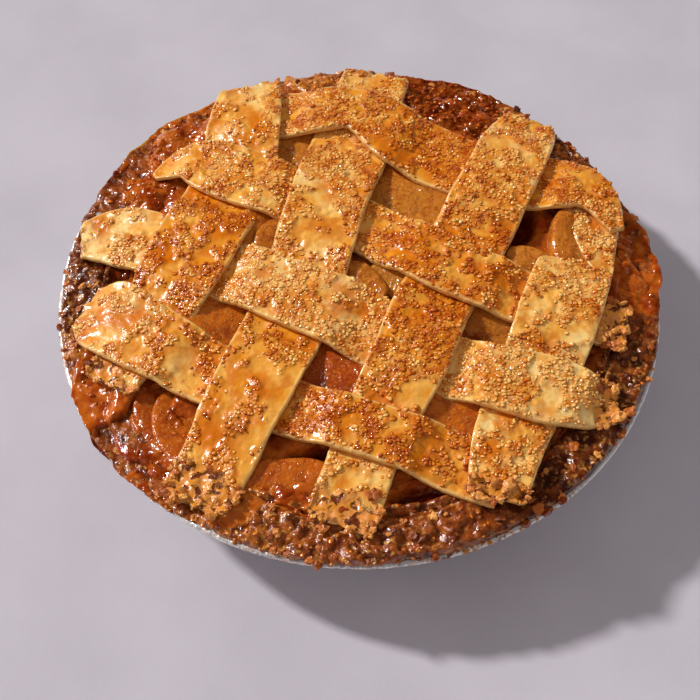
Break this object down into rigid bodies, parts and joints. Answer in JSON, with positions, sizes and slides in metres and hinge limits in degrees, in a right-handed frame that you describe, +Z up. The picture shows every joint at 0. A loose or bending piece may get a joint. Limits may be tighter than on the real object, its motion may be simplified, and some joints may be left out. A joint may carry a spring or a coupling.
{
  "type": "lattice apple pie",
  "caption": "Round baked pie in a foil tin, with a woven pastry lattice over an apple filling and an uneven baked edge.",
  "frame": {"origin": "middle of the flat underside of the tin, on the surface that it stands on", "axes": "+Z up; the weft strips run from -X down to +X, and the warp strips from -Y up to +Y"},
  "size_m": [0.23, 0.23, 0.0523],
  "materials": {
    "foil": "thin pressed foil with a rolled edge, stained with syrup",
    "baked_edge": "dark baked pastry edge, crumbly, partly under boiled syrup",
    "apple_filling": "glossy cooked apple slices in amber syrup",
    "glazed_pastry": "egg-washed golden pastry with coarse sugar"
  },
  "bodies": {
    "root": {"tin": "foil", "pastry_case": "baked_edge", "apple_filling": "apple_filling", "weft_strip_1": "glazed_pastry", "weft_strip_2": "glazed_pastry", "weft_strip_3": "glazed_pastry", "weft_strip_4": "glazed_pastry", "warp_strip_1": "glazed_pastry", "warp_strip_2": "glazed_pastry", "warp_strip_3": "glazed_pastry", "warp_strip_4": "glazed_pastry"}
  },
  "joints": []
}
